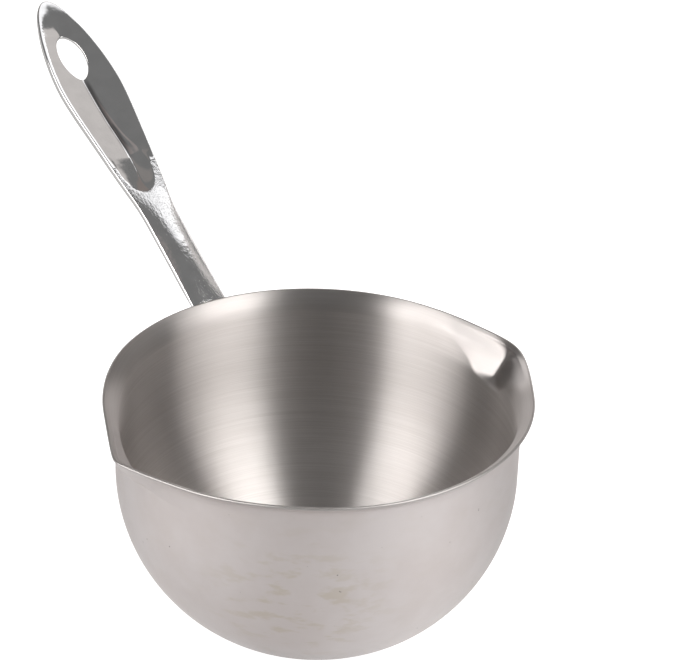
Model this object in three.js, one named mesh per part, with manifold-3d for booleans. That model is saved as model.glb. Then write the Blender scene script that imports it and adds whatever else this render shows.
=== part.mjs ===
import * as THREE from 'three';
import { mergeVertices } from 'three/addons/utils/BufferGeometryUtils.js';
import Module from 'manifold-3d';

// Candle melting pot, mm, +Z up.
// Origin: centre of the flat underside. +X: along the two pour lips. +Y: towards the handle.

// Bowl: one drawn sheet.
const SHEET = 0.75;
const HEIGHT = 60;
const BASE_FLAT_R = 19.2;
const WALL_R = 47.5;
const KNUCKLE_Z = 39.8;
const KNUCKLE_P = 1.55;
const KNUCKLE_Q = 1.98;
const FLARE_Z = 54.6;
const EDGE_R = 50.2;
const EDGE_Z = 59.32;
const AROUND = 96;

// Pour lips: a crease pushed out of the rim at both ends of the X axis.
const LIP_FOOT_Z = 50;
const LIP_FADE_Z = 49.6;
const LIP_HALF = [[49.6, 4], [50.6, 6.5], [52.8, 9.5], [54.2, 12], [57, 18], [59.3, 22.4]];
const LIP_PUSH = [[49.6, 0], [50.4, 0.2], [51.2, 0.44], [52.8, 0.6], [54, 0.7], [56, 0.86],
  [59.3, 1]];
const CREASE_SOFT = THREE.MathUtils.degToRad(1.6);
const POUR_LIPS = [
  { turn: -2.5, reach: 54.3, dip: 1.4, dipHalf: 26, edgeSoft: 7 },
  { turn: 180, reach: 53.6, dip: 2.75, dipHalf: 57, edgeSoft: 2 },
];

// Handle: one pressed sheet with turned-down edges.
const GAUGE = 0.8;
const SHOULDER_LEFT = [[-4, 0.2], [2, 0.3], [30, 0.3], [40, 0.35]];
const SHOULDER_RIGHT = [[-4, 0.2], [2, 0.7], [7, 0.95], [30, 0.95], [40, 0.35]];
const SLOPE = THREE.MathUtils.degToRad(28.6);
const ROOT_Y = 50;
const ROOT_Z = 58.4;
const BEND_R = 5.5;
const FIT_GAP = 0.32;
const TAB_LENGTH = 15;
const TAB_HALF = 9.2;
const NECK_HALF = 4.76;
const GRIP_OUTLINE = [
  [2, NECK_HALF], [12, 4.74], [22, 4.74], [29, 4.72], [33.5, 4.95], [38, 5.47], [44.8, 6.25],
  [52, 6.97], [58, 7.6], [64, 8.2], [69, 8.56], [73, 8.62], [78, 8.3], [82, 7.82], [86, 7.12],
  [90, 6.2], [93.2, 5.22], [96, 4.25], [98.3, 3.1], [99.9, 1.9], [100.6, 0.95], [100.8, 0.35],
];
const TIP_S = 101;
const DISH_DEPTH = [[40, 2.1], [46, 2.1], [50, 2.15], [58, 2.2], [68, 2.1], [76, 1.9],
  [82, 1.65], [87, 1.35], [90, 1.05], [93, 0.62], [95.5, 0.25], [98, 0.08], [101, 0]];
const TOE_AT = 36.4;
const TOE_SIDE = 45.4;
const TOE_FLOOR = 49.5;
const TOE_X = -0.5;
const TOE_LEFT = 4.7;
const TOE_RIGHT = 4.8;
const VALLEY_X = [[38, -0.3], [44, 0.6], [50, 1.1], [56, 0.8], [62, 0.3], [70, 0], [101, -0.3]];
const CREST_X = [[38, 4.2], [44, 4.3], [50, 3.8], [56, 2.1], [62, 1.35], [70, 0.7], [101, 0.3]];
const FLANK_START = [[42, 0], [46, 0.16], [50, 0.38], [56, 0.66], [62, 0.76], [70, 0.85],
  [101, 0.94]];
const DISH_BORDER = 0.75;
const CREST_SOFT = 0.06;
const TURNED_DOWN = [[0.5, GAUGE + 0.02], [7, 1.15], [20, 1.15], [34, 1.4], [50, 1.62],
  [75, 1.68], [100, 1.4]];
const CROWN = [[-1, 0], [1, 0.3], [3, 0.5], [8, 0.9], [14, 1.2], [20, 1.25], [26, 0.9],
  [32, 0.5], [36, 0.2], [40, 0.05], [44, 0]];

// Hanging hole: leaf shaped, along the handle.
const HOLE_FROM = 75.2;
const HOLE_TO = 89.2;
const HOLE_HALF = 3.5;
const HOLE_OFF = -0.25;

// Spot welds that hold the tab on the wall: [x, z].
const WELD_R = 1.9;
const WELD_SPOTS = [['spot_weld_left', -4.8, 49.4], ['spot_weld_right', 4.8, 49.4],
  ['spot_weld_lower', 0, 42.6]];

const STEEL_SATIN = new THREE.MeshStandardMaterial({
  name: 'satin_steel', color: 0xbdb5b0, roughness: 0.42, metalness: 1,
});
const STEEL_POLISHED = new THREE.MeshStandardMaterial({
  name: 'polished_steel', color: 0xc4c0bf, roughness: 0.12, metalness: 1,
});
const STEEL_WELD = new THREE.MeshStandardMaterial({
  name: 'weld_steel', color: 0x9a938d, roughness: 0.5, metalness: 1,
});

const wasm = await Module();
wasm.setup();

function ease(x, from, to) {
  const t = THREE.MathUtils.clamp((x - from) / (to - from), 0, 1);
  return t * t * (3 - 2 * t);
}

// Slope of the curve at one knot of a table; the curve is flat at both ends.
function knotSlope(table, i) {
  if (i === 0 || i === table.length - 1) {
    return 0;
  }
  const [a, u] = table[i - 1];
  const [b, v] = table[i + 1];
  return (v - u) / (b - a);
}

// Smooth curve through the knots of a table.
function through(table, at) {
  const last = table.length - 1;
  const s = THREE.MathUtils.clamp(at, table[0][0], table[last][0]);
  let i = 0;
  while (i < last - 1 && s > table[i + 1][0]) {
    i += 1;
  }
  const [a, u] = table[i];
  const [b, v] = table[i + 1];
  const h = b - a;
  const t = (s - a) / h;
  const from = u * (2 * t ** 3 - 3 * t ** 2 + 1) + h * knotSlope(table, i) * (t ** 3 - 2 * t ** 2 + t);
  const to = v * (3 * t ** 2 - 2 * t ** 3) + h * knotSlope(table, i + 1) * (t ** 3 - t ** 2);
  return from + to;
}

function softMax(a, b, soft) {
  return 0.5 * (a + b + Math.hypot(a - b, soft));
}

function toManifold(geometry) {
  const bare = geometry.clone();
  bare.deleteAttribute('normal');
  bare.deleteAttribute('uv');
  const merged = mergeVertices(bare, 1e-5);
  const mesh = new wasm.Mesh({
    numProp: 3,
    vertProperties: new Float32Array(merged.attributes.position.array),
    triVerts: new Uint32Array(merged.index.array),
  });
  return new wasm.Manifold(mesh);
}

function fromManifold(solid) {
  const mesh = solid.getMesh();
  const geometry = new THREE.BufferGeometry();
  geometry.setAttribute('position', new THREE.BufferAttribute(mesh.vertProperties.slice(), 3));
  geometry.setIndex(new THREE.BufferAttribute(mesh.triVerts.slice(), 1));
  geometry.computeVertexNormals();
  return geometry;
}

function named(name, geometry, material) {
  const mesh = new THREE.Mesh(geometry, material);
  mesh.name = name;
  return mesh;
}

// Outer side of the sheet, from the axis to the rim edge, with its outward direction.
function bowlOuter() {
  const line = [[0, 0], [BASE_FLAT_R * 0.6, 0]];
  const bend = 11;
  for (let i = 0; i <= bend; i += 1) {
    const t = (Math.PI / 2) * (i / bend) ** 0.9;
    const r = BASE_FLAT_R + (WALL_R - BASE_FLAT_R) * Math.sin(t) ** (2 / KNUCKLE_P);
    line.push([r, KNUCKLE_Z * (1 - Math.cos(t) ** (2 / KNUCKLE_Q))]);
  }
  for (const z of [44, 47.5, 49.5, 50.3, 51.2, 52.4, 53.6]) {
    line.push([WALL_R, z]);
  }
  const out = EDGE_R - WALL_R;
  const up = EDGE_Z - FLARE_Z;
  const turn = 2 * Math.atan2(out, up);
  const radius = up / Math.sin(turn);
  for (let i = 0; i <= 5; i += 1) {
    const a = (turn * i) / 5;
    line.push([WALL_R + radius * (1 - Math.cos(a)), FLARE_Z + radius * Math.sin(a)]);
  }
  return line;
}

function outwardAt(line, i) {
  const a = line[Math.max(i - 1, 0)];
  const b = line[Math.min(i + 1, line.length - 1)];
  if (i < 2) {
    return [0, -1];
  }
  const length = Math.hypot(b[0] - a[0], b[1] - a[1]);
  return [(b[1] - a[1]) / length, -(b[0] - a[0]) / length];
}

function bowlProfile() {
  const outer = bowlOuter();
  const inner = [];
  for (let i = outer.length - 1; i >= 0; i -= 1) {
    const [nr, nz] = outwardAt(outer, i);
    inner.push([Math.max(outer[i][0] - SHEET * nr, 0), outer[i][1] - SHEET * nz]);
  }
  const [nr, nz] = outwardAt(outer, outer.length - 1);
  const end = outer[outer.length - 1];
  const edge = [];
  for (let i = 1; i < 4; i += 1) {
    const a = (Math.PI * i) / 4;
    const across = (SHEET / 2) * (1 - Math.cos(a));
    const along = (SHEET / 2) * Math.sin(a);
    edge.push([end[0] - nr * across - nz * along, end[1] - nz * across + nr * along]);
  }
  return [...outer, ...edge, ...inner].map(([r, z]) => new THREE.Vector2(r, z));
}

// How far the lip crease leans out beyond the turned rim at height z.
function leanOut(z) {
  const out = EDGE_R - WALL_R;
  const up = EDGE_Z - FLARE_Z;
  const radius = (out * out + up * up) / (2 * out);
  const h = THREE.MathUtils.clamp(z - FLARE_Z, 0, up);
  const flare = radius - Math.sqrt(radius * radius - h * h);
  return out * THREE.MathUtils.clamp((z - LIP_FOOT_Z) / (EDGE_Z - LIP_FOOT_Z), 0, 1) - flare;
}

// Radius and height of a rim point after one pour lip has been pressed.
function pressLip(lip, r, side, z) {
  const offset = side - THREE.MathUtils.degToRad(lip.turn);
  const away = Math.abs(Math.atan2(Math.sin(offset), Math.cos(offset)));
  const edgeSoft = THREE.MathUtils.degToRad(lip.edgeSoft);
  const soft = CREASE_SOFT + (edgeSoft - CREASE_SOFT) * ease(z, 56, HEIGHT);
  const half = Math.acos(EDGE_R / lip.reach);
  const stretch = 22.4 / through(LIP_HALF, z);
  const off = Math.max(half + soft - Math.hypot(away * stretch, soft), 0);
  const near = Math.cos(Math.min(away / THREE.MathUtils.degToRad(27), 1) * (Math.PI / 2)) ** 2;
  const wide = THREE.MathUtils.degToRad(lip.dipHalf);
  const fold = Math.cos(Math.min(away / wide, 1) * (Math.PI / 2)) ** 2;
  const full = lip.reach / EDGE_R - 1;
  const share = (1 / Math.cos(off) - 1) / full;
  const push = full * through(LIP_PUSH, z) * share ** (0.65 + 0.35 * ease(z, 52, 58));
  return {
    r: (r + leanOut(z) * near) * (1 + push),
    drop: lip.dip * fold * ease(z, LIP_FOOT_Z - 2, HEIGHT + 1) * 1.03,
  };
}

function shapePourLips(geometry) {
  const at = geometry.attributes.position;
  const p = new THREE.Vector3();
  for (let i = 0; i < at.count; i += 1) {
    p.fromBufferAttribute(at, i);
    const side = Math.atan2(p.y, p.x);
    if (p.z > LIP_FADE_Z) {
      const lip = POUR_LIPS[p.x > 0 ? 0 : 1];
      const pressed = pressLip(lip, Math.hypot(p.x, p.y), side, p.z);
      at.setXYZ(i, pressed.r * Math.cos(side), pressed.r * Math.sin(side), p.z - pressed.drop);
    }
  }
  return geometry;
}

// Lathe columns are gathered towards the pour lips.
function gatherColumns(geometry) {
  const at = geometry.attributes.position;
  for (let i = 0; i < at.count; i += 1) {
    const x = at.getX(i);
    const y = at.getY(i);
    const turn = Math.atan2(y, x);
    const moved = turn - 0.36 * Math.sin(2 * turn);
    const r = Math.hypot(x, y);
    at.setXY(i, r * Math.cos(moved), r * Math.sin(moved));
  }
  return geometry;
}

function bowl() {
  const turned = new THREE.LatheGeometry(bowlProfile(), AROUND);
  turned.rotateX(Math.PI / 2);
  const solid = toManifold(shapePourLips(gatherColumns(turned)));
  return named('bowl', fromManifold(solid), STEEL_SATIN);
}

// Path of the handle's upper face, s measured up the slope from ROOT_Y.
const TAB_FACE_Y = WALL_R + FIT_GAP;
const BEND_Y = TAB_FACE_Y + BEND_R * (1 - Math.sin(SLOPE));
const BEND_S = (BEND_Y - ROOT_Y) / Math.cos(SLOPE);
const BEND_ARC = BEND_R * (Math.PI / 2 - SLOPE);
const TAB_TOP_S = BEND_S - BEND_ARC;
const TAB_END_S = TAB_TOP_S - TAB_LENGTH;

function pathAt(s) {
  if (s >= BEND_S) {
    return {
      y: ROOT_Y + s * Math.cos(SLOPE), z: ROOT_Z + s * Math.sin(SLOPE), tilt: SLOPE,
    };
  }
  const a = Math.min((BEND_S - s) / BEND_R, Math.PI / 2 - SLOPE);
  const tilt = SLOPE + a;
  const startZ = ROOT_Z + BEND_S * Math.sin(SLOPE);
  const y = TAB_FACE_Y + BEND_R * (1 - Math.sin(tilt));
  const z = startZ - BEND_R * (Math.cos(SLOPE) - Math.cos(tilt));
  return { y, z: z - Math.max(TAB_TOP_S - s, 0), tilt };
}

function place(s, x, n) {
  const p = pathAt(s);
  return new THREE.Vector3(x, p.y - n * Math.sin(p.tilt), p.z + n * Math.cos(p.tilt));
}

// How far the toe of the dish has sunk: 0 on the neck, 1 on the floor of the dish.
function toeRamp(s, x) {
  const aside = Math.min(Math.abs(x - TOE_X) / (x < TOE_X ? TOE_LEFT : TOE_RIGHT), 1);
  const roundToe = (1 - aside ** 2.4) ** (1 / 2.4);
  const toe = TOE_AT + (TOE_SIDE - TOE_AT) * (1 - roundToe);
  return 1 - (1 - THREE.MathUtils.clamp((s - toe) / (TOE_FLOOR - toe), 0, 1)) ** 1.4;
}

// Share of the dish's full depth: a valley with a wide left wall, and a crest on its right.
function dish(s, x, w) {
  const valley = through(VALLEY_X, s);
  const crest = through(CREST_X, s);
  const start = through(FLANK_START, s);
  if (x < valley) {
    const sideways = (valley - x) / Math.max(valley + w - DISH_BORDER, 0.3);
    return toeRamp(s, x) * Math.max(1 - Math.hypot(sideways, 0.03) ** 1.05, 0);
  }
  const rise = 1 - (1 - start) * ((x - valley) / (crest - valley)) ** 1.12;
  const flank = start * THREE.MathUtils.clamp((w - x) / Math.max(w - crest, 0.3), 0, 1.2);
  return toeRamp(s, x) * (softMax(rise, flank, CREST_SOFT) - CREST_SOFT / 2);
}

// Upper face before its edge is rounded: crowned neck, dished grip, tab curved like the wall.
function faceHeight(s, x, half) {
  const w = Math.max(half, 0.4);
  const u = Math.min(Math.abs(x) / w, 1);
  const crowned = through(CROWN, s) * (1 - u * u);
  const dished = through(DISH_DEPTH, s) * dish(s, THREE.MathUtils.clamp(x, -w, w), w);
  const wallFit = TAB_FACE_Y - Math.sqrt(TAB_FACE_Y ** 2 - x * x);
  return crowned - dished + wallFit * (1 - ease(s, TAB_TOP_S - 1, BEND_S + 1));
}

function gripOutline() {
  const knots = GRIP_OUTLINE.map(([s, w]) => new THREE.Vector2(s, w));
  const curve = new THREE.SplineCurve(knots);
  return curve.getPoints(40);
}

function tabOutline() {
  const line = [];
  for (let i = 0; i <= 6; i += 1) {
    const a = (Math.PI / 2) * (i / 6);
    const s = TAB_END_S + 4.6 * (1 - Math.cos(a));
    line.push(new THREE.Vector2(s, TAB_HALF - 4.6 + 4.6 * Math.sin(a)));
  }
  for (let i = 1; i <= 14; i += 1) {
    const s = TAB_END_S + 4.6 + ((0.8 - TAB_END_S - 4.6) * i) / 14;
    const grow = 1 - ease(s, TAB_TOP_S - 2, BEND_S + 0.4);
    line.push(new THREE.Vector2(s, NECK_HALF + (TAB_HALF - NECK_HALF) * grow));
  }
  return line;
}

// The same outline moved inwards by one sheet thickness.
function insetOutline(line) {
  return line.map((p, i) => {
    const a = line[Math.max(i - 1, 0)];
    const b = line[Math.min(i + 1, line.length - 1)];
    const along = new THREE.Vector2(b.x - a.x, b.y - a.y).normalize();
    return new THREE.Vector2(p.x + GAUGE * along.y, p.y - GAUGE * along.x);
  }).filter((p) => p.y > 0.2);
}

function widthOf(line, s) {
  for (let i = 1; i < line.length; i += 1) {
    if (s <= line[i].x) {
      const t = (s - line[i - 1].x) / (line[i].x - line[i - 1].x);
      return line[i - 1].y + (line[i].y - line[i - 1].y) * Math.max(t, 0);
    }
  }
  return 0;
}

// Joins closed rings of equal length into one closed body.
function loft(rings) {
  const n = rings[0].length;
  const data = rings.flat().flatMap((p) => [p.x, p.y, p.z]);
  const index = [];
  for (let k = 0; k + 1 < rings.length; k += 1) {
    for (let i = 0; i < n; i += 1) {
      const a = k * n + i;
      const b = k * n + ((i + 1) % n);
      index.push(a, b, a + n, b, b + n, a + n);
    }
  }
  const half = n / 2;
  for (const [start, flip] of [[0, true], [(rings.length - 1) * n, false]]) {
    for (let i = 0; i + 1 < half; i += 1) {
      const a = start + i;
      const b = start + i + 1;
      const c = start + n - 1 - i;
      const d = start + n - 2 - i;
      const faces = flip ? [a, c, b, b, c, d] : [a, b, c, b, d, c];
      index.push(...faces);
    }
  }
  const geometry = new THREE.BufferGeometry();
  geometry.setAttribute('position', new THREE.Float32BufferAttribute(data, 3));
  geometry.setIndex(index);
  return geometry;
}

const ACROSS = 16;

function spreadAcross(i) {
  return Math.sin((Math.PI / 2) * ((2 * i) / ACROSS - 1));
}

function outerRing(station, outline, inner, steep) {
  const s = station.x;
  const w = station.y;
  const top = [];
  const bottom = [];
  const hold = Math.max(widthOf(inner, s) - 0.1, 0.05);
  const deeper = s > 1.4 ? 0.5 : 0;
  for (let i = 0; i <= ACROSS; i += 1) {
    const x = w * spreadAcross(i);
    const round = through(x < 0 ? SHOULDER_LEFT : SHOULDER_RIGHT, s);
    const gap = Math.min((w - Math.abs(x)) / steep, Math.max(TIP_S - s, 0));
    const lack = Math.max(round - gap, 0);
    const drop = round - Math.sqrt(round * round - lack * lack);
    top.push(place(s, x, faceHeight(s, x, w) - drop));
  }
  for (let i = 0; i <= ACROSS; i += 1) {
    const edge = i === 0 || i === ACROSS;
    let x = w * spreadAcross(i);
    let n = faceHeight(s, x, w) - through(TURNED_DOWN, s);
    if (!edge && s > 1.4) {
      const step = i === 1 || i === ACROSS - 1;
      const reach = step ? hold : hold - 0.04;
      x = step ? Math.sign(x) * reach : reach * spreadAcross(i) / spreadAcross(ACROSS - 2);
      const under = faceHeight(s, x, w) - GAUGE - deeper;
      n = step ? faceHeight(s, x, w) - through(TURNED_DOWN, s) : Math.min(under, n);
    } else if (!edge) {
      n = faceHeight(s, x, w) - GAUGE;
    }
    bottom.push(place(s, x, n));
  }
  return [...top, ...bottom.reverse()];
}

function handleOuter(outline, inner) {
  const rings = outline.map((p, i) => {
    const a = outline[Math.max(i - 1, 0)];
    const b = outline[Math.min(i + 1, outline.length - 1)];
    const steep = Math.hypot(b.x - a.x, b.y - a.y) / Math.max(b.x - a.x, 1e-3);
    return outerRing(p, outline, inner, Math.min(steep, 4));
  });
  return toManifold(loft(rings));
}

function handleHollow(outline, inner) {
  const rings = inner.filter((p) => p.x > 1.6).map((p) => {
    const w = widthOf(outline, p.x);
    const top = [];
    const bottom = [];
    for (let i = 0; i <= ACROSS; i += 1) {
      const x = p.y * spreadAcross(i);
      top.push(place(p.x, x, faceHeight(p.x, x, w) - GAUGE));
      bottom.push(place(p.x, x, -7));
    }
    return [...top, ...bottom.reverse()];
  });
  return toManifold(loft(rings));
}

function hangingHole() {
  const half = (HOLE_TO - HOLE_FROM) / 2;
  const leaf = new THREE.Shape();
  const steps = 22;
  const edge = (i) => {
    const t = (2 * Math.PI * i) / steps;
    const full = Math.abs(Math.sin(t)) ** 1.15 * Math.sign(Math.sin(t));
    return [HOLE_HALF * full, half * Math.cos(t)];
  };
  leaf.moveTo(...edge(0));
  for (let i = 1; i < steps; i += 1) {
    leaf.lineTo(...edge(i));
  }
  leaf.closePath();
  const punch = new THREE.ExtrudeGeometry(leaf, { depth: 12, bevelEnabled: false });
  punch.translate(0, 0, -6);
  punch.rotateX(SLOPE);
  const middle = place((HOLE_FROM + HOLE_TO) / 2, 0, 0);
  punch.translate(HOLE_OFF, middle.y, middle.z);
  return toManifold(punch);
}

function weldCylinder(x, z, radius, from, to) {
  const turn = Math.asin(x / WALL_R);
  const disc = new THREE.CylinderGeometry(radius, radius, to - from, 24);
  disc.translate(0, (from + to) / 2, 0);
  disc.rotateZ(-turn);
  disc.translate(0, 0, z);
  return disc;
}

function handle() {
  const outline = [...tabOutline(), ...gripOutline()];
  const inner = insetOutline(outline);
  let solid = handleOuter(outline, inner).subtract(handleHollow(outline, inner));
  solid = solid.subtract(hangingHole());
  for (const [, x, z] of WELD_SPOTS) {
    solid = solid.subtract(toManifold(weldCylinder(x, z, WELD_R + FIT_GAP, 40, 56)));
  }
  return named('handle', fromManifold(solid), STEEL_POLISHED);
}

function spotWeld(name, x, z) {
  const from = TAB_FACE_Y + 0.04;
  const disc = weldCylinder(x, z, WELD_R, from, TAB_FACE_Y + GAUGE - 0.05);
  return named(name, fromManifold(toManifold(disc)), STEEL_WELD);
}

const pot = new THREE.Group();
pot.name = 'candle_melting_pot';
pot.add(bowl());
pot.add(handle());
for (const [name, x, z] of WELD_SPOTS) {
  pot.add(spotWeld(name, x, z));
}

export default pot;
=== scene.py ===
import math

import bpy
import numpy as np
from mathutils import Matrix, Vector
from mathutils.geometry import delaunay_2d_cdt


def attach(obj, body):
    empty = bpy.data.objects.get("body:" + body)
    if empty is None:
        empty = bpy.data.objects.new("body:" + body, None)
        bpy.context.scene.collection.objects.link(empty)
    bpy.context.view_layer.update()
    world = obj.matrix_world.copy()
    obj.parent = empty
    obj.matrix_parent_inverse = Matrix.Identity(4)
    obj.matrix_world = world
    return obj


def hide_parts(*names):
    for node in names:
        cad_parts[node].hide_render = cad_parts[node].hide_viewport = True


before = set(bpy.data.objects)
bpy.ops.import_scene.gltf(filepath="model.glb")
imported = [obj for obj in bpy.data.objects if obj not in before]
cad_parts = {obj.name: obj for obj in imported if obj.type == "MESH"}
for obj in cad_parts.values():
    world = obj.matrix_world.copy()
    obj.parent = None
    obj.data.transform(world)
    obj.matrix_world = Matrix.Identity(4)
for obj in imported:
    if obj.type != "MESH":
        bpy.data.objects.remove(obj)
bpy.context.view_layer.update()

MM = 0.001

# ---------------------------------------------------------------- dimensions, mm

# Bowl: one drawn sheet. The knuckle is the round stretch between the flat base and the wall.
SHEET = 0.75
HEIGHT = 60.0
BASE_FLAT_R = 19.2
WALL_R = 47.5
KNUCKLE_Z = 39.8
KNUCKLE_P = 1.55
KNUCKLE_Q = 1.98
FLARE_Z = 54.6
EDGE_R = 50.2
EDGE_Z = 59.32
AROUND = 480
COLUMN_CROWDING = 0.36

# Pour lips: creases pushed out of the rim. Tables are (height, value); angles are in degrees.
LIP_FOOT_Z = 50.0
LIP_FADE_Z = 49.6
LIP_HALF = [(49.6, 4.0), (50.6, 6.5), (52.8, 9.5), (54.2, 12.0), (57, 18.0), (59.3, 22.4)]
LIP_PUSH = [(49.6, 0.0), (50.4, 0.2), (51.2, 0.44), (52.8, 0.6), (54, 0.7), (56, 0.86), (59.3, 1.0)]
CREASE_SOFT = math.radians(1.6)
LEAN_HALF = 27
DIP_AT_EDGE = 1.03
PRESSED_LITTLE = 0.15
PRESSED_HARD = 0.9
POUR_LIPS = [
    {"turn": -2.5, "reach": 54.3, "dip": 1.4, "dip_half": 26, "edge_soft": 7},
    {"turn": 180, "reach": 53.6, "dip": 2.75, "dip_half": 57, "edge_soft": 2},
]

# Handle: one pressed sheet. s runs up its slope from the rim, x across it. Tables are (s, value).
GAUGE = 0.8
SHOULDER_LEFT = [(-4, 0.2), (2, 0.3), (30, 0.3), (40, 0.35)]
SHOULDER_RIGHT = [(-4, 0.2), (2, 0.7), (7, 0.95), (30, 0.95), (40, 0.35)]
SLOPE = math.radians(28.6)
ROOT_Y = 50.0
ROOT_Z = 58.4
BEND_R = 5.5
FIT_GAP = 0.32
TAB_LENGTH = 15.0
TAB_HALF = 9.2
TAB_CORNER = 4.6
NECK_HALF = 4.76
GRIP_OUTLINE = [
    (2, NECK_HALF), (12, 4.74), (22, 4.74), (29, 4.72), (33.5, 4.95), (38, 5.47), (44.8, 6.25),
    (52, 6.97), (58, 7.6), (64, 8.2), (69, 8.56), (73, 8.62), (78, 8.3), (82, 7.82), (86, 7.12),
    (90, 6.2), (93.2, 5.22), (96, 4.25), (98.3, 3.1), (99.9, 1.9), (100.6, 0.95), (100.85, 0.0),
]

# Dish of the grip: a valley, a crest on its right and a flat flank beyond the crest. Its toe is
# the round end near the neck.
DISH_DEPTH = [(40, 2.1), (46, 2.1), (50, 2.15), (58, 2.2), (68, 2.1), (76, 1.9), (82, 1.65),
              (87, 1.35), (90, 1.05), (93, 0.62), (95.5, 0.25), (98, 0.08), (101, 0.0)]
TOE_AT = 36.4
TOE_SIDE = 45.4
TOE_FLOOR = 49.5
TOE_X = -0.5
TOE_LEFT = 4.7
TOE_RIGHT = 4.8
VALLEY_X = [(38, -0.3), (44, 0.6), (50, 1.1), (56, 0.8), (62, 0.3), (70, 0.0), (101, -0.3)]
CREST_X = [(38, 4.2), (44, 4.3), (50, 3.8), (56, 2.1), (62, 1.35), (70, 0.7), (101, 0.3)]
FLANK_START = [(42, 0.0), (46, 0.16), (50, 0.38), (56, 0.66), (62, 0.76), (70, 0.85), (101, 0.94)]
DISH_BORDER = 0.75
VALLEY_SOFT = 0.03
CREST_SOFT = 0.06

# Depth of the turned-down edges, crown of the neck, and how finely the sheet is meshed.
TURNED_DOWN = [(0.5, GAUGE + 0.02), (7, 1.15), (20, 1.15), (34, 1.4), (50, 1.62), (75, 1.68),
               (100, 1.4)]
CROWN = [(-1, 0), (1, 0.3), (3, 0.5), (8, 0.9), (14, 1.2), (20, 1.25), (26, 0.9), (32, 0.5),
         (36, 0.2), (40, 0.05), (44, 0)]
FOOT_ROUND = 0.14
FOOT_INNER_SHARE = 0.1
OUTLINE_PITCH = 0.55
FACE_PITCH = 0.34
UNDER_PITCH = 0.6

# Hanging hole: leaf shaped, along the handle.
HOLE_FROM = 75.2
HOLE_TO = 89.2
HOLE_HALF = 3.5
HOLE_OFF = -0.25
HOLE_ROUND = 0.13
HOLE_PITCH = 0.28

# Spot welds between the tab and the wall: name, x, height.
WELD_R = 1.9
WELD_COLUMNS = 48
WELD_SPOTS = [("spot_weld_left", -4.8, 49.4), ("spot_weld_right", 4.8, 49.4),
              ("spot_weld_lower", 0.0, 42.6)]

TAB_FACE_Y = WALL_R + FIT_GAP
BEND_Y = TAB_FACE_Y + BEND_R * (1 - math.sin(SLOPE))
BEND_S = (BEND_Y - ROOT_Y) / math.cos(SLOPE)
BEND_ARC = BEND_R * (math.pi / 2 - SLOPE)
TAB_TOP_S = BEND_S - BEND_ARC
TAB_END_S = TAB_TOP_S - TAB_LENGTH


def ease(x, start, end):
    """Smooth step from 0 at the start to 1 at the end."""
    t = np.clip((np.asarray(x, float) - start) / (end - start), 0, 1)
    return t * t * (3 - 2 * t)


def through(table, s):
    """Smooth curve through the knots of a table, flat beyond both ends."""
    xs = np.array([k[0] for k in table], float)
    ys = np.array([k[1] for k in table], float)
    m = np.zeros(len(xs))
    m[1:-1] = (ys[2:] - ys[:-2]) / (xs[2:] - xs[:-2])
    s = np.clip(np.asarray(s, float), xs[0], xs[-1])
    i = np.clip(np.searchsorted(xs, s, side="right") - 1, 0, len(xs) - 2)
    h = xs[i + 1] - xs[i]
    t = (s - xs[i]) / h
    return ((2 * t**3 - 3 * t**2 + 1) * ys[i] + (t**3 - 2 * t**2 + t) * h * m[i]
            + (3 * t**2 - 2 * t**3) * ys[i + 1] + (t**3 - t**2) * h * m[i + 1])


# ---------------------------------------------------------------- mesh helpers

def new_mesh(name, points, faces, materials, face_material=None):
    """Object from points in mm and faces; face_material says which material each face has."""
    mesh = bpy.data.meshes.new(name)
    mesh.from_pydata((np.asarray(points) * MM).tolist(), [], faces)
    for m in materials:
        mesh.materials.append(m)
    mesh.polygons.foreach_set("use_smooth", [True] * len(mesh.polygons))
    if face_material is not None:
        mesh.polygons.foreach_set("material_index", face_material)
    mesh.update()
    mesh.validate()
    obj = bpy.data.objects.new(name, mesh)
    bpy.context.collection.objects.link(obj)
    return obj


def vertex_value(obj, name, values):
    """One number per point that the materials can read."""
    layer = obj.data.attributes.new(name, "FLOAT", "POINT")
    layer.data.foreach_set("value", np.asarray(values, np.float32))


# ---------------------------------------------------------------- bowl

def bowl_outer_line():
    """Outer side of the sheet as (radius, height), from the axis to the rim edge."""
    line = [(0.0, 0.0)] + [(r, 0.0) for r in np.linspace(1.2, BASE_FLAT_R * 0.97, 16)]
    for t in (np.pi / 2) * np.linspace(0, 1, 72) ** 0.9:
        r = BASE_FLAT_R + (WALL_R - BASE_FLAT_R) * math.sin(t) ** (2 / KNUCKLE_P)
        line.append((r, KNUCKLE_Z * (1 - max(math.cos(t), 0.0) ** (2 / KNUCKLE_Q))))
    line += [(WALL_R, z) for z in np.linspace(KNUCKLE_Z, FLARE_Z, 44)[1:-1]]
    out, up = EDGE_R - WALL_R, EDGE_Z - FLARE_Z
    turn = 2 * math.atan2(out, up)
    radius = up / math.sin(turn)
    for a in np.linspace(0, turn, 20):
        line.append((WALL_R + radius * (1 - math.cos(a)), FLARE_Z + radius * math.sin(a)))
    return np.array(line)


def bowl_profile():
    """Section of the sheet: outside, rim edge, inside. Also gives each point's side, 0 to 1."""
    outer = bowl_outer_line()
    d = np.gradient(outer, axis=0)
    d /= np.linalg.norm(d, axis=1)[:, None]
    normal = np.stack([d[:, 1], -d[:, 0]], 1)
    normal[0] = normal[1] = (0, -1)
    inner = outer - SHEET * normal
    inner[:, 0] = np.maximum(inner[:, 0], 0)
    inner[0, 0] = 0
    end, nr = outer[-1], normal[-1]
    a = np.linspace(0, np.pi, 13)[1:-1]
    across, along = (SHEET / 2) * (1 - np.cos(a)), (SHEET / 2) * np.sin(a)
    edge = np.stack([end[0] - nr[0] * across - nr[1] * along,
                     end[1] - nr[1] * across + nr[0] * along], 1)
    points = np.vstack([outer, edge, inner[::-1]])
    side = np.concatenate([np.zeros(len(outer)), np.linspace(0.1, 0.9, len(edge)),
                           np.ones(len(inner))])
    return points, side


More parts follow.
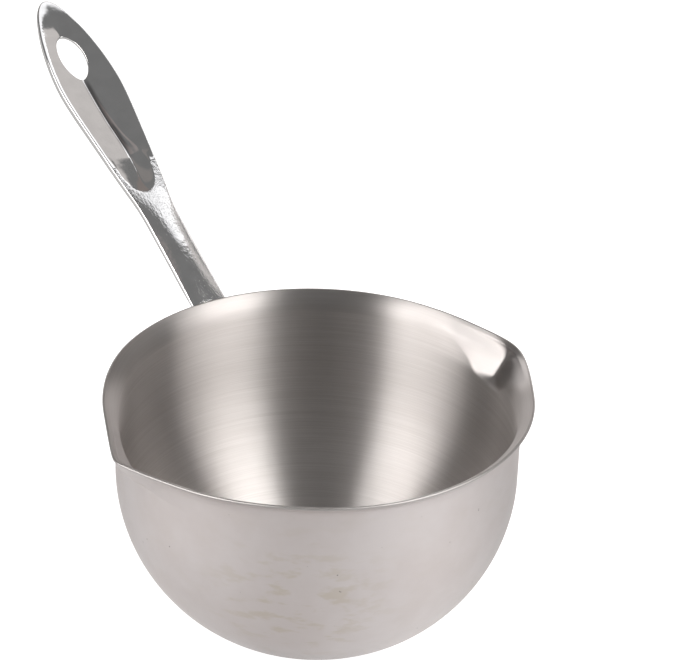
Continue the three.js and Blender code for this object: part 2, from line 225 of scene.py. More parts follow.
def lean_out(z):
    """How far a straight cone from the lip's foot to the rim lies outside the curved flare."""
    out, up = EDGE_R - WALL_R, EDGE_Z - FLARE_Z
    radius = (out * out + up * up) / (2 * out)
    h = np.clip(z - FLARE_Z, 0, up)
    flare = radius - np.sqrt(radius * radius - h * h)
    return out * np.clip((z - LIP_FOOT_Z) / (EDGE_Z - LIP_FOOT_Z), 0, 1) - flare


def hump(away, half):
    """Bell over an angle: 1 in the middle, 0 from the half width in degrees on."""
    return np.cos(np.minimum(away / math.radians(half), 1) * np.pi / 2) ** 2


def press_lip(lip, r, phi, z):
    """Radius of the sheet after one lip is pressed, and how far the sheet dips there."""
    away = np.abs(np.angle(np.exp(1j * (phi - math.radians(lip["turn"])))))
    soft = CREASE_SOFT + (math.radians(lip["edge_soft"]) - CREASE_SOFT) * ease(z, 56, HEIGHT)
    half = math.acos(EDGE_R / lip["reach"])
    stretch = LIP_HALF[-1][1] / through(LIP_HALF, z)
    off = np.maximum(half + soft - np.hypot(away * stretch, soft), 0)
    full = lip["reach"] / EDGE_R - 1
    share = (1 / np.cos(off) - 1) / full
    power = 0.65 + 0.35 * ease(z, 52, 58)
    push = r * full * through(LIP_PUSH, z) * np.power(share + 1e-12, power)
    pressed = (r + lean_out(z) * hump(away, LEAN_HALF)) * (1 + push / r)
    dip = lip["dip"] * DIP_AT_EDGE * ease(z, LIP_FOOT_Z - 2, HEIGHT + 1)
    return pressed, dip * hump(away, lip["dip_half"])


def pressed_sheet(ring):
    """Points of the sheet around the axis with both lips pressed, and how worked each one is."""
    turn = 2 * np.pi * np.arange(AROUND) / AROUND
    turn = turn - COLUMN_CROWDING * np.sin(2 * turn)
    phi = np.broadcast_to(turn, (len(ring), AROUND))
    r = np.broadcast_to(ring[:, :1], phi.shape)
    z = np.broadcast_to(ring[:, 1:], phi.shape)
    worked = np.zeros(phi.shape)
    for lip, on_its_side in zip(POUR_LIPS, (np.cos(phi) > 0, np.cos(phi) <= 0)):
        mask = on_its_side & (z > LIP_FADE_Z)
        pressed, drop = press_lip(lip, r, phi, z)
        hard = np.maximum(worked, ease(pressed - r, PRESSED_LITTLE, PRESSED_HARD))
        worked = np.where(mask, hard, worked)
        r = np.where(mask, pressed, r)
        z = np.where(mask, z - drop, z)
    points = np.stack([r * np.cos(phi), r * np.sin(phi), z], -1)
    return points.reshape(-1, 3), worked.reshape(-1)


def bowl_faces(rows, low, high):
    """Quads from row to row, then a fan around each of the two points on the axis."""
    k, i = np.meshgrid(np.arange(rows - 1), np.arange(AROUND), indexing="ij")
    a = k * AROUND + i
    b = k * AROUND + (i + 1) % AROUND
    quads = np.stack([a, b, b + AROUND, a + AROUND], -1).reshape(-1, 4)
    j = np.arange(AROUND)
    after = (j + 1) % AROUND
    last = (rows - 1) * AROUND
    fan_low = np.stack([np.full(AROUND, low), after, j], 1)
    fan_high = np.stack([np.full(AROUND, high), last + j, last + after], 1)
    return quads.tolist() + fan_low.tolist() + fan_high.tolist()


def make_bowl(materials):
    """Bowl from its section; materials are for the outside, the inside and the rim edge."""
    profile, side = bowl_profile()
    ring = profile[1:-1]
    points, worked = pressed_sheet(ring)
    faces = bowl_faces(len(ring), len(points), len(points) + 1)
    points = np.vstack([points, [[0, 0, profile[0, 1]], [0, 0, profile[-1, 1]]]])
    on_row = side[1:-2]
    row_kind = np.where(on_row <= 0, 0, np.where(on_row < 1, 2, 1))
    kinds = np.concatenate([np.repeat(row_kind, AROUND), np.zeros(AROUND, int),
                            np.ones(AROUND, int)])
    obj = new_mesh("bowl_sheet", points, faces, materials, kinds)
    steps = np.r_[0, np.cumsum(np.linalg.norm(np.diff(profile, axis=0), axis=1))]
    along = np.concatenate([np.repeat(steps[1:-1], AROUND), [steps[0], steps[-1]]])
    flare = np.repeat(ease(ring[:, 1], FLARE_Z, FLARE_Z + 1.8), AROUND)
    vertex_value(obj, "along", along)
    vertex_value(obj, "worked", np.append(worked, [0, 0]))
    vertex_value(obj, "flare", np.append(flare, [0, 0]))
    return obj


# ---------------------------------------------------------------- handle

def path_at(s):
    """Line that the upper face follows: up the wall as the tab, round the bend, up the slope."""
    s = np.asarray(s, float)
    a = np.clip((BEND_S - s) / BEND_R, 0, math.pi / 2 - SLOPE)
    tilt = SLOPE + a
    start_z = ROOT_Z + BEND_S * math.sin(SLOPE)
    y_bend = TAB_FACE_Y + BEND_R * (1 - np.sin(tilt))
    z_bend = start_z - BEND_R * (math.cos(SLOPE) - np.cos(tilt)) - np.maximum(TAB_TOP_S - s, 0)
    straight = s >= BEND_S
    y = np.where(straight, ROOT_Y + s * math.cos(SLOPE), y_bend)
    z = np.where(straight, ROOT_Z + s * math.sin(SLOPE), z_bend)
    return y, z, tilt


def place(s, x, n):
    """Point in the part's frame; n is the height above the line that the face follows."""
    y, z, tilt = path_at(s)
    return np.stack([x + 0 * y, y - n * np.sin(tilt), z + n * np.cos(tilt)], -1)


def smooth_curve(knots, steps):
    """Centripetal Catmull-Rom through 2-D knots."""
    p = np.array(knots, float)
    p = np.vstack([2 * p[0] - p[1], p, 2 * p[-1] - p[-2]])
    out = []
    for i in range(1, len(p) - 2):
        t = [0.0]
        for j in range(3):
            t.append(t[-1] + max(np.linalg.norm(p[i + j] - p[i + j - 1]), 1e-6) ** 0.5)
        u = np.linspace(t[1], t[2], steps, endpoint=False)[:, None]
        a1 = (t[1] - u) / (t[1] - t[0]) * p[i - 1] + (u - t[0]) / (t[1] - t[0]) * p[i]
        a2 = (t[2] - u) / (t[2] - t[1]) * p[i] + (u - t[1]) / (t[2] - t[1]) * p[i + 1]
        a3 = (t[3] - u) / (t[3] - t[2]) * p[i + 1] + (u - t[2]) / (t[3] - t[2]) * p[i + 2]
        b1 = (t[2] - u) / (t[2] - t[0]) * a1 + (u - t[0]) / (t[2] - t[0]) * a2
        b2 = (t[3] - u) / (t[3] - t[1]) * a2 + (u - t[1]) / (t[3] - t[1]) * a3
        out.append((t[2] - u) / (t[2] - t[1]) * b1 + (u - t[1]) / (t[2] - t[1]) * b2)
    return np.vstack(out + [p[-2][None]])


def half_outline():
    """Right-hand outline of the whole blank as (s, x), from the tab's end to the tip."""
    a = np.linspace(0, np.pi / 2, 16)
    tab = np.stack([TAB_END_S + TAB_CORNER * (1 - np.cos(a)),
                    TAB_HALF - TAB_CORNER + TAB_CORNER * np.sin(a)], 1)
    s = np.linspace(TAB_END_S + TAB_CORNER, 1.6, 44)[1:]
    grow = 1 - ease(s, TAB_TOP_S - 2, BEND_S + 0.4)
    rise = np.stack([s, NECK_HALF + (TAB_HALF - NECK_HALF) * grow], 1)
    grip = smooth_curve(GRIP_OUTLINE, 10)
    return np.vstack([tab, rise, grip])


HALF = half_outline()


def width_at(s):
    """Half width of the blank."""
    return np.interp(s, HALF[:, 0], HALF[:, 1])


def resample(loop, pitch):
    """Closed loop with its points spread evenly."""
    closed = np.vstack([loop, loop[:1]])
    d = np.r_[0, np.cumsum(np.linalg.norm(np.diff(closed, axis=0), axis=1))]
    n = max(int(round(d[-1] / pitch)), 12)
    t = np.linspace(0, d[-1], n, endpoint=False)
    return np.stack([np.interp(t, d, closed[:, 0]), np.interp(t, d, closed[:, 1])], 1)


def outward(loop):
    """Unit directions that point out of a counter-clockwise loop."""
    d = np.roll(loop, -1, 0) - np.roll(loop, 1, 0)
    d /= np.linalg.norm(d, axis=1)[:, None]
    return np.stack([d[:, 1], -d[:, 0]], 1)


def inset(loop, offset):
    """Loop moved inwards by one offset, or by one offset for each point."""
    return loop - outward(loop) * np.broadcast_to(offset, len(loop))[:, None]


def counter_clockwise(loop):
    x, y = loop.T
    area = 0.5 * np.sum(x * np.roll(y, -1) - np.roll(x, -1) * y)
    return loop if area > 0 else loop[::-1]


def soft_max(a, b, soft):
    """The larger of two values, rounded where they meet."""
    return 0.5 * (a + b + np.sqrt((a - b) ** 2 + soft * soft))


def toe_ramp(s, x):
    """How far the toe of the dish has sunk: 0 on the neck, 1 on the floor of the dish."""
    aside = np.abs(x - TOE_X) / np.where(x < TOE_X, TOE_LEFT, TOE_RIGHT)
    round_toe = (1 - np.minimum(aside, 1) ** 2.4) ** (1 / 2.4)
    toe = TOE_AT + (TOE_SIDE - TOE_AT) * (1 - round_toe)
    return 1 - (1 - np.clip((s - toe) / (TOE_FLOOR - toe), 0, 1)) ** 1.4


def dish(s, x, w):
    """Share of the dish's full depth: 1 along the valley, 0 outside the dish."""
    valley, crest, start = through(VALLEY_X, s), through(CREST_X, s), through(FLANK_START, s)
    left = np.maximum(valley + w - DISH_BORDER, 0.3)
    sideways = np.where(x < valley, (valley - x) / left, (x - valley) / (crest - valley))
    left_wall = np.maximum(1 - np.hypot(sideways, VALLEY_SOFT) ** 1.05, 0)
    right_wall = 1 - (1 - start) * sideways ** 1.12
    flank = start * np.clip((w - x) / np.maximum(w - crest, 0.3), 0, 1.2)
    wall = np.where(x < valley, left_wall, soft_max(right_wall, flank, CREST_SOFT) - CREST_SOFT / 2)
    return toe_ramp(s, x) * wall


def face_height(s, x):
    """Upper face: crowned neck, dished grip, and the tab curved like the wall it lies on."""
    w = np.maximum(width_at(s), 0.4)
    x = np.clip(x, -w, w)
    crowned = through(CROWN, s) * (1 - (x / w) ** 2)
    dished = through(DISH_DEPTH, s) * dish(s, x, w)
    wall_fit = TAB_FACE_Y - np.sqrt(TAB_FACE_Y**2 - x * x)
    return crowned - dished + wall_fit * (1 - ease(s, TAB_TOP_S - 1, BEND_S + 1))


def height_at(at):
    return face_height(at[:, 0], at[:, 1])


def shoulder_at(s, x):
    """Radius of the rounding between the upper face and the turned-down edge."""
    return np.where(x < 0, through(SHOULDER_LEFT, s), through(SHOULDER_RIGHT, s))


def outer_loop():
    left = HALF[::-1][1:] * (1, -1)
    return counter_clockwise(resample(np.vstack([HALF, left]), OUTLINE_PITCH))


def hole_loop():
    """Hanging hole with a point at both ends."""
    t = 2 * np.pi * np.arange(400) / 400
    full = np.abs(np.sin(t)) ** 1.15 * np.sign(np.sin(t))
    half = (HOLE_TO - HOLE_FROM) / 2
    middle = (HOLE_FROM + HOLE_TO) / 2
    loop = np.stack([middle + half * np.cos(t), HOLE_OFF + HOLE_HALF * full], 1)
    return resample(counter_clockwise(loop), HOLE_PITCH)


def inside_loop(points, loop):
    x, y = points.T
    hit = np.zeros(len(points), bool)
    for (x0, y0), (x1, y1) in zip(loop, np.roll(loop, -1, 0)):
        cross = (y0 > y) != (y1 > y)
        with np.errstate(divide="ignore", invalid="ignore"):
            at = x0 + (y - y0) * (x1 - x0) / (y1 - y0)
        hit ^= cross & (x < at)
    return hit


def filled(outer, hole, pitch):
    """Points and triangles over the area between two loops; the loops' points come first."""
    s = np.arange(outer[:, 0].min(), outer[:, 0].max(), pitch)
    x = np.arange(-10, 10.01, pitch)
    grid = np.stack(np.meshgrid(s, x, indexing="ij"), -1).reshape(-1, 2)
    grid = grid[inside_loop(grid, outer) & ~inside_loop(grid, hole)]
    for corner in np.vstack([outer, hole]):
        grid = grid[(np.abs(grid - corner) > pitch * 0.4).any(1)]
    points = np.vstack([outer, hole, grid])
    edges, start = [], 0
    for n in (len(outer), len(hole)):
        edges += [(start + i, start + (i + 1) % n) for i in range(n)]
        start += n
    got = delaunay_2d_cdt([Vector(p) for p in points], edges, [], 0, 1e-7)
    order = np.full(len(points), -1)
    for i, came_from in enumerate(got[3]):
        order[came_from] = i
    if len(got[0]) != len(points) or (order < 0).any():
        raise RuntimeError("the outline crosses itself")
    tris = np.argsort(order)[np.array([f for f in got[2] if len(f) == 3])]
    middle = points[tris].mean(1)
    tris = tris[inside_loop(middle, outer) & ~inside_loop(middle, hole)]
    p = points[tris]
    area = np.cross(p[:, 1] - p[:, 0], p[:, 2] - p[:, 0])
    tris[area < 0] = tris[area < 0][:, ::-1]
    return points, tris


class Build:
    """Collects the handle's points, their values for the material, and its faces."""

    def __init__(self):
        self.points, self.faces, self.peel, self.crease_shade = [], [], [], []
        self.count = 0

    def add(self, at, n):
        s, x = at.T
        off = np.abs(x - through(VALLEY_X, s) - 0.15)
        self.points.append(place(s, x, n))
        self.peel.append((1 - ease(toe_ramp(s, x), 0.0, 0.08)) * (1 - ease(s, 44, 50)))
        # Mask of the painted shade along the crease of the dish's valley.
        self.crease_shade.append((1 - ease(off, 0.3, 1.1)) * ease(s, 48, 54) * (1 - ease(s, 72, 77)))
        first = self.count
        self.count += len(at)
        return np.arange(first, self.count)

    def strip(self, a, b, flip=False):
        """Quads between two rings of points."""
        quads = np.stack([a, np.roll(a, -1), np.roll(b, -1), b], 1)
        self.faces += (quads[:, ::-1] if flip else quads).tolist()

    def next_ring(self, ring, at, n, flip=False):
        """One more ring of points and the strip that leads to it."""
        new = self.add(at, n)
        self.strip(ring, new, flip)
        return new

    def face(self, loop, hole, pitch, lift, flip=False):
        """A whole side of the sheet. Gives back its points on the loop and on the hole."""
        at, tris = filled(loop, hole, pitch)
        index = self.add(at, height_at(at) + lift)
        tris = index[tris]
        self.faces += (tris[:, ::-1] if flip else tris).tolist()
        return index[:len(loop)], index[len(loop):len(loop) + len(hole)]


def turned_edge(b, ring, loop):
    """From the upper face over its shoulder, down the turned edge and onto its inner side."""
    s, x = loop.T
    shoulder = shoulder_at(s, x)
    foot = face_height(s, x) - through(TURNED_DOWN, s)
    for a in np.linspace(np.pi / 2, 0, 9)[1:]:
        at = inset(loop, shoulder * (1 - np.cos(a)))
        ring = b.next_ring(ring, at, height_at(at) - shoulder * (1 - np.sin(a)), flip=True)
    for a in np.linspace(0, np.pi / 2, 5):
        at = inset(loop, FOOT_ROUND * (1 - np.cos(a)))
        ring = b.next_ring(ring, at, foot + FOOT_ROUND * (1 - np.sin(a)), flip=True)
    for a in np.linspace(np.pi / 2, 0, 5):
        at = inset(loop, GAUGE - FOOT_ROUND * (1 - np.cos(a)))
        lift = FOOT_ROUND * (1 - np.sin(a)) * FOOT_INNER_SHARE
        ring = b.next_ring(ring, at, foot + lift, flip=True)
    return ring


def hole_wall(b, ring, hole):
    """From the upper face through the hole, with both of the hole's edges rounded."""
    for a in np.linspace(np.pi / 2, 0, 5)[1:]:
        at = inset(hole, -HOLE_ROUND * (1 - np.cos(a)))
        ring = b.next_ring(ring, at, height_at(at) - HOLE_ROUND * (1 - np.sin(a)))
    for a in np.linspace(0, np.pi / 2, 5)[:-1]:
        at = inset(hole, -HOLE_ROUND * (1 - np.cos(a)))
        ring = b.next_ring(ring, at, height_at(at) - GAUGE + HOLE_ROUND * (1 - np.sin(a)))
    return ring


def make_handle(materials):
    loop = outer_loop()
    hole = hole_loop()
    hole_wide = inset(hole, -HOLE_ROUND)
    b = Build()
    face_loop = inset(loop, shoulder_at(loop[:, 0], loop[:, 1]))
    top_edge, top_hole = b.face(face_loop, hole_wide, FACE_PITCH, 0.0)
    last = turned_edge(b, top_edge, loop)
    under_loop = inset(loop, GAUGE)
    under_edge, under_hole = b.face(under_loop, hole_wide, UNDER_PITCH, -GAUGE, flip=True)
    b.strip(last, under_edge, flip=True)
    b.strip(hole_wall(b, top_hole, hole), under_hole)
    obj = new_mesh("handle_sheet", np.vstack(b.points), b.faces, materials)
    vertex_value(obj, "peel", np.concatenate(b.peel))
    vertex_value(obj, "crease_shade", np.concatenate(b.crease_shade))
    return obj


# ---------------------------------------------------------------- spot welds

def weld_line():
    """Section of a weld mark as (radius, depth): flat towards the bowl, dished outside."""
    base = TAB_FACE_Y + 0.04
    top = TAB_FACE_Y + GAUGE - 0.05
    return np.array([
        (0.0, base), (WELD_R * 0.6, base), (WELD_R - 0.08, base), (WELD_R, base + 0.08),
        (WELD_R, top - 0.16), (WELD_R - 0.05, top - 0.05), (WELD_R - 0.16, top),
        (1.35, top), (1.2, top - 0.04), (0.9, top - 0.13), (0.45, top - 0.17), (0.0, top - 0.18)])


def make_weld(name, x, z, materials):
    """Round weld mark, turned about the axis so that it faces the wall."""
    line = weld_line()
    rings = line[1:-1]
    a = 2 * np.pi * np.arange(WELD_COLUMNS) / WELD_COLUMNS
    px = rings[:, :1] * np.cos(a)
    pz = rings[:, :1] * np.sin(a)
    py = np.broadcast_to(rings[:, 1:], px.shape)
    points = np.stack([px, py, pz], -1).reshape(-1, 3)
    points = np.vstack([points, [[0, line[0, 1], 0], [0, line[-1, 1], 0]]])
    turn = -math.asin(x / WALL_R)
    c, s = math.cos(turn), math.sin(turn)
    points = points @ np.array([[c, s, 0], [-s, c, 0], [0, 0, 1]]) + [0, 0, z]
    faces = []
    for k in range(len(rings) - 1):
        for i in range(WELD_COLUMNS):
            p, q = k * WELD_COLUMNS + i, k * WELD_COLUMNS + (i + 1) % WELD_COLUMNS
            faces.append((p, p + WELD_COLUMNS, q + WELD_COLUMNS, q))
    low, high = len(points) - 2, len(points) - 1
    last = (len(rings) - 1) * WELD_COLUMNS
    for i in range(WELD_COLUMNS):
        after = (i + 1) % WELD_COLUMNS
        faces.append((low, i, after))
        faces.append((high, last + after, last + i))
    return new_mesh(name + "_mark", points, faces, materials)


# ---------------------------------------------------------------- shader nodes

class Nodes:
    """Short names for the shader nodes of one tree. Inputs take a value or another output."""

    def __init__(self, tree):
        self.tree = tree
        tree.nodes.clear()

    def plug(self, socket, value):
        if isinstance(value, bpy.types.NodeSocket):
            self.tree.links.new(value, socket)
        else:
            socket.default_value = value

    def new(self, kind, **inputs):
        """Node with inputs by name, with _ for a space, or by number as i0, i1."""
        node = self.tree.nodes.new(kind)
        for key, value in inputs.items():
            by_number = key[0] == "i" and key[1:].isdigit()
            self.plug(node.inputs[int(key[1:]) if by_number else key.replace("_", " ")], value)
        return node

    def math(self, op, a, b=0.0, c=0.0):
        node = self.new("ShaderNodeMath", i0=a, i1=b, i2=c)
        node.operation = op
        return node.outputs[0]

    def ramp(self, value, low, high, to_low=0.0, to_high=1.0):
        """Smooth step between two levels of a value."""
        node = self.new("ShaderNodeMapRange", Value=value, From_Min=low, From_Max=high,
                        To_Min=to_low, To_Max=to_high)
        node.interpolation_type = "SMOOTHSTEP"
        return node.outputs[0]

    def mix(self, factor, a, b):
        """Blend of two colours."""
        node = self.tree.nodes.new("ShaderNodeMix")
        node.data_type = "RGBA"
        for i, value in ((0, factor), (6, a), (7, b)):
            self.plug(node.inputs[i], value)
        return node.outputs[2]

    def noise(self, vector, scale, detail=3.0, rough=0.55):
        node = self.new("ShaderNodeTexNoise", Vector=vector, Scale=scale, Detail=detail,
                        Roughness=rough)
        return node.outputs["Fac"]

    def scaled(self, vector, scale):
        return self.new("ShaderNodeMapping", Vector=vector, Scale=scale).outputs[0]

    def attribute(self, name):
        node = self.tree.nodes.new("ShaderNodeAttribute")
        node.attribute_name = name
        return node.outputs["Fac"]

    def position(self):
        return self.new("ShaderNodeTexCoord").outputs["Object"]


def material(name):
    mat = bpy.data.materials.new(name)
    mat.use_nodes = True
    return mat, Nodes(mat.node_tree)


# ---------------------------------------------------------------- materials

# Middle of the brown stains on the outside and how far they reach, in metres.
STAIN_AT = (-0.027, -0.036, 0.030)
STAIN_NEAR = 0.006
STAIN_FAR = 0.026

TINY = 0.0001


def ring_coordinates(n, across, along):
    """Position with the height replaced by the distance along the bowl's section."""
    split = n.new("ShaderNodeSeparateXYZ", Vector=n.position())
    x = n.math("MULTIPLY", split.outputs["X"], across)
    y = n.math("MULTIPLY", split.outputs["Y"], across)
    z = n.math("MULTIPLY", n.attribute("along"), along)
    return n.new("ShaderNodeCombineXYZ", X=x, Y=y, Z=z).outputs[0]


def add_steel(n, colour, rough, height, strength, deep=TINY, brushed=0.0):
    """Steel with a fine bump. Brushed steel has its grain around the pot's axis."""
    steel = n.new("ShaderNodeBsdfPrincipled", Base_Color=colour, Metallic=1.0, Roughness=rough)
    if brushed:
        tangent = n.new("ShaderNodeTangent")
        tangent.direction_type = "RADIAL"
        tangent.axis = "Z"
        steel.inputs["Anisotropic"].default_value = brushed
        steel.inputs["Anisotropic Rotation"].default_value = 0.25
        n.plug(steel.inputs["Tangent"], tangent.outputs[0])
    bump = n.new("ShaderNodeBump", Height=height, Strength=strength, Distance=deep)
    n.plug(steel.inputs["Normal"], bump.outputs[0])
    n.new("ShaderNodeOutputMaterial", Surface=steel.outputs[0])


def steel_inside():
    """Brushed inside of the bowl, duller on the flare and where the lips are pressed."""
    mat, n = material("steel_brushed_inside")
    grain = n.noise(ring_coordinates(n, 40.0, 5.0), 1.0, 4.0, 0.6)
    coarse = n.noise(ring_coordinates(n, 25.0, 0.9), 1.0, 3.0, 0.6)
    blotch = n.noise(n.position(), 60.0, 3.0, 0.5)
    worked = n.attribute("worked")
    flare = n.attribute("flare")
    colour = n.mix(n.ramp(grain, 0.3, 0.7), (0.565, 0.54, 0.525, 1), (0.63, 0.605, 0.59, 1))
    colour = n.mix(n.ramp(coarse, 0.35, 0.75, 0.0, 0.25), colour, (0.50, 0.47, 0.45, 1))
    colour = n.mix(n.math("MULTIPLY", flare, 0.5), colour, (0.43, 0.41, 0.4, 1))
    colour = n.mix(n.math("MULTIPLY", worked, 0.75), colour, (0.37, 0.352, 0.345, 1))
    rough = n.math("MULTIPLY_ADD", worked, -0.06, n.ramp(blotch, 0.3, 0.7, 0.41, 0.45))
    height = n.math("ADD", grain, n.math("MULTIPLY", coarse, 0.6))
    add_steel(n, colour, rough, height, 0.12, brushed=1.0)
    return mat


def steel_rim():
    """Bare cut edge of the sheet."""
    mat, n = material("steel_rim_edge")
    grain = n.noise(ring_coordinates(n, 90.0, 12.0), 1.0, 4.0, 0.6)
    colour = n.mix(n.ramp(grain, 0.3, 0.7), (0.36, 0.345, 0.335, 1), (0.43, 0.41, 0.40, 1))
    add_steel(n, colour, n.ramp(grain, 0.3, 0.7, 0.34, 0.46), grain, 0.15)
    return mat


def steel_outside():
    """Satin outside of the bowl with clouds, a patch of stains and dark specks."""
    mat, n = material("steel_satin_outside")
    where = n.position()
    grain = n.noise(ring_coordinates(n, 120.0, 2.2), 1.0, 3.0, 0.6)
    cloud = n.noise(where, 45.0, 4.0, 0.6)
    smear = n.noise(n.scaled(where, (1, 1, 2.6)), 130.0, 3.0, 0.6)
    speck = n.noise(where, 900.0, 1.0, 0.3)
    reach = n.new("ShaderNodeVectorMath", i0=where, i1=STAIN_AT)
    reach.operation = "DISTANCE"
    stained = n.ramp(reach.outputs["Value"], STAIN_NEAR, STAIN_FAR, 1.0, 0.1)
    stain = n.math("MULTIPLY", n.ramp(smear, 0.5, 0.66, 0.0, 0.6), stained)
    colour = n.mix(n.ramp(cloud, 0.35, 0.7), (0.57, 0.535, 0.53, 1), (0.54, 0.50, 0.49, 1))
    colour = n.mix(stain, colour, (0.47, 0.42, 0.35, 1))
    colour = n.mix(n.ramp(speck, 0.80, 0.84, 0.0, 0.6), colour, (0.10, 0.09, 0.09, 1))
    add_steel(n, colour, n.ramp(cloud, 0.3, 0.7, 0.38, 0.46), grain, 0.05, brushed=0.3)
    return mat


def steel_polished():
    """Polished handle: orange peel on the neck, painted shade along the crease of the dish."""
    mat, n = material("steel_polished")
    where = n.position()
    neck = n.attribute("peel")
    crease_shade = n.attribute("crease_shade")
    peel = n.noise(n.scaled(where, (1.0, 0.5, 0.5)), 1900.0, 2.0, 0.7)
    wave = n.noise(where, 260.0, 2.0, 0.5)
    polish = n.noise(n.scaled(where, (1.0, 0.25, 0.25)), 1800.0, 3.0, 0.6)
    colour = n.mix(n.ramp(wave, 0.3, 0.7), (0.595, 0.592, 0.59, 1), (0.63, 0.626, 0.624, 1))
    # Painted shade: the colour darkens to near black along the crease of the dish.
    colour = n.mix(n.math("MULTIPLY", crease_shade, 0.85), colour, (0.2, 0.19, 0.19, 1))
    rough = n.math("MULTIPLY_ADD", neck, 0.03, n.ramp(polish, 0.3, 0.7, 0.05, 0.09))
    height = n.math("MULTIPLY_ADD", peel, neck, n.math("MULTIPLY", wave, 0.35))
    add_steel(n, colour, rough, height, 0.5, deep=1.2 * TINY)
    return mat


def steel_weld():
    """Weld marks, heat tinted and rougher."""
    mat, n = material("steel_weld_mark")
    cloud = n.noise(n.position(), 700.0, 3.0, 0.6)
    colour = n.mix(n.ramp(cloud, 0.3, 0.7), (0.42, 0.37, 0.33, 1), (0.55, 0.50, 0.47, 1))
    add_steel(n, colour, n.ramp(cloud, 0.3, 0.7, 0.35, 0.55), cloud, 0.3)
    return mat


# ---------------------------------------------------------------- object

bowl = make_bowl([steel_outside(), steel_inside(), steel_rim()])
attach(bowl, "root")
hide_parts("bowl")

handle = make_handle([steel_polished()])
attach(handle, "root")
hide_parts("handle")

weld_steel = steel_weld()
for weld_name, weld_x, weld_z in WELD_SPOTS:
    weld = make_weld(weld_name, weld_x, weld_z, [weld_steel])
    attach(weld, "root")
    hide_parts(weld_name)


# ---------------------------------------------------------------- studio

# Floor, in metres, and the painted light its glow sends back in front of the pot and behind it.
FLOOR_HALF = 3.0
FLOOR_Z = -0.0002
FLOOR_FRONT = 0.5
FLOOR_BACK = 0.34

# Painted pools of light (positive gain) and shade (negative gain) in the floor's glow around the
# pot: azimuth, half width in degrees, gain.
FLOOR_POOLS = [(-68, 45, 0.42), (160, 34, 0.18), (-137, 32, -0.2), (-10, 30, -0.15), (57, 80, -0.42)]


def off_azimuth(n, azimuth, at):
    """Angle between an azimuth and one direction, in radians; at is in degrees."""
    turned = n.math("SUBTRACT", azimuth, math.radians(at))
    return n.math("ABSOLUTE", n.math("WRAP", turned, math.pi, -math.pi))


def floor_material():
    """Pale floor: plain white to the camera; in the pot's reflections it glows with painted light
    and shade.
    """
    mat, n = material("floor_white")
    diffuse = n.new("ShaderNodeBsdfDiffuse", Color=(0.35, 0.35, 0.35, 1))
    where = n.new("ShaderNodeSeparateXYZ", Vector=n.position())
    behind = n.math("ADD", n.math("MULTIPLY", where.outputs["X"], 0.55),
                    n.math("MULTIPLY", where.outputs["Y"], 0.83))
    azimuth = n.math("ARCTAN2", where.outputs["Y"], where.outputs["X"])
    reflected = n.ramp(behind, -0.05, 0.25, FLOOR_FRONT, FLOOR_BACK)
    for at, half, gain in FLOOR_POOLS:
        near = n.ramp(off_azimuth(n, azimuth, at), 0.0, math.radians(half), 1.0, 0.0)
        reflected = n.math("MULTIPLY", reflected, n.math("MULTIPLY_ADD", near, gain, 1.0))
    seen = n.new("ShaderNodeLightPath").outputs["Is Camera Ray"]
    unseen = n.math("SUBTRACT", 1.0, seen)
    strength = n.math("MULTIPLY_ADD", seen, 0.95, n.math("MULTIPLY", unseen, reflected))
    glow = n.new("ShaderNodeEmission", Color=(1, 0.995, 0.99, 1), Strength=strength)
    both = n.new("ShaderNodeAddShader", i0=diffuse.outputs[0], i1=glow.outputs[0])
    n.new("ShaderNodeOutputMaterial", Surface=both.outputs[0])
    return mat


def make_floor():
    mesh = bpy.data.meshes.new("floor")
    corners = [(-1, -1), (1, -1), (1, 1), (-1, 1)]
    mesh.from_pydata([(x * FLOOR_HALF, y * FLOOR_HALF, FLOOR_Z) for x, y in corners], [],
                     [(0, 1, 2, 3)])
    obj = bpy.data.objects.new("floor", mesh)
    bpy.context.collection.objects.link(obj)
    mesh.materials.append(floor_material())


# Soft boxes of the studio as seen from the pot: azimuth from +X, elevation, both in degrees,
# half widths, edge softness, colour.
SOFT_BOXES = [
    (-61, 33, 26, 32, 3, (2.6, 2.52, 2.48)),
    (-61, 53, 26, 12, 3, (6.4, 6.3, 6.2)),
    (172, 22, 25, 19, 2, (3.5, 3.4, 3.35)),
    (168, 44, 19, 6, 2, (8.8, 8.6, 8.5)),
    (191, 35, 8, 22, 2, (4.6, 4.5, 4.45)),
    (178, 74, 14, 5, 1.5, (0.42, 0.38, 0.37)),
    (56, 11, 38, 10, 2, (1.9, 1.84, 1.82)),
    (51, 38, 20, 19, 2, (0.32, 0.28, 0.265)),
    (10, 41, 13, 9, 0.8, (0.84, 0.80, 0.78)),
    (15.5, 52, 6.5, 5.2, 1, (2.2, 2.2, 2.23)),
    (22, 62.5, 14.5, 6, 1.5, (1.6, 1.6, 1.63)),
    (92, 60, 28, 22, 6, (0.34, 0.32, 0.31)),
]
ROOM = (0.26, 0.26, 0.26)


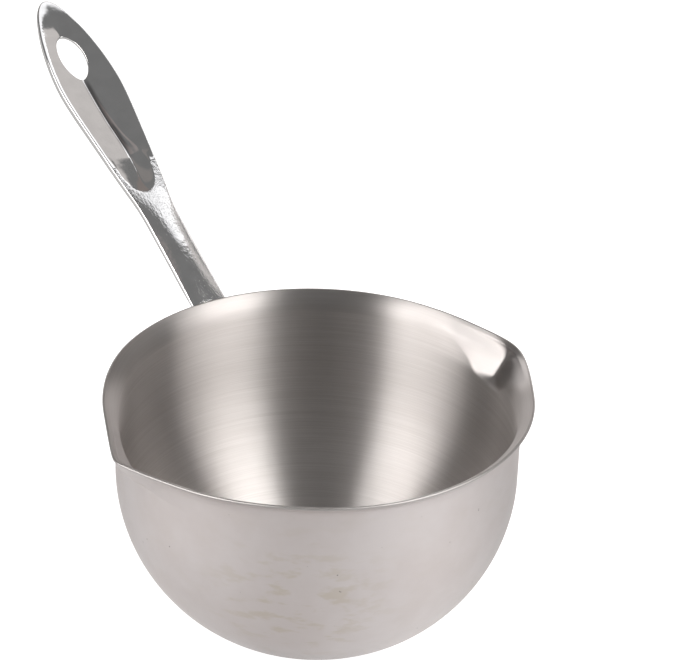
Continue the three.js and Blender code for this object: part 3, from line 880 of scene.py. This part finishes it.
def make_world():
    world = bpy.data.worlds.new("studio")
    world.use_nodes = True
    bpy.context.scene.world = world
    n = Nodes(world.node_tree)
    way = n.new("ShaderNodeTexCoord").outputs["Generated"]
    split = n.new("ShaderNodeSeparateXYZ", Vector=way)
    azimuth = n.math("ARCTAN2", split.outputs["Y"], split.outputs["X"])
    elevation = n.math("ARCSINE", split.outputs["Z"])
    colour = (*ROOM, 1)
    for az, el, half_az, half_el, soft, shade in SOFT_BOXES:
        aside = off_azimuth(n, azimuth, az)
        above = n.math("ABSOLUTE", n.math("SUBTRACT", elevation, math.radians(el)))
        in_az = n.ramp(aside, math.radians(half_az - soft), math.radians(half_az + soft), 1.0, 0.0)
        in_el = n.ramp(above, math.radians(half_el - soft), math.radians(half_el + soft), 1.0, 0.0)
        colour = n.mix(n.math("MULTIPLY", in_az, in_el), colour, (*shade, 1))
    seen = n.new("ShaderNodeLightPath").outputs["Is Camera Ray"]
    colour = n.mix(seen, colour, (1, 0.995, 0.99, 1))
    back = n.new("ShaderNodeBackground", Color=colour, Strength=1.0)
    n.new("ShaderNodeOutputWorld", Surface=back.outputs[0])


make_floor()
make_world()

# ---------------------------------------------------------------- camera

# Camera in metres and degrees: where it stands, the direction from the pot to it, and its roll.
CAMERA_AT = (-0.306154, -0.477580, 0.394945)
CAMERA_AZ = -123.0939
CAMERA_EL = 29.3278
CAMERA_ROLL = 2.0302
LENS_MM = 149.78


def make_camera():
    data = bpy.data.cameras.new("camera")
    data.sensor_width = 36.0
    data.lens = LENS_MM
    data.clip_start = 0.01
    data.clip_end = 20.0
    cam = bpy.data.objects.new("camera", data)
    bpy.context.collection.objects.link(cam)
    az, tilt = math.radians(CAMERA_AZ + 90), math.radians(90 - CAMERA_EL)
    turned = Matrix.Rotation(az, 4, "Z") @ Matrix.Rotation(tilt, 4, "X")
    rolled = Matrix.Rotation(math.radians(CAMERA_ROLL), 4, "Z")
    cam.matrix_world = Matrix.Translation(CAMERA_AT) @ turned @ rolled
    bpy.context.scene.camera = cam


make_camera()
view = bpy.context.scene.view_settings
view.view_transform = "Standard"
view.look = "None"
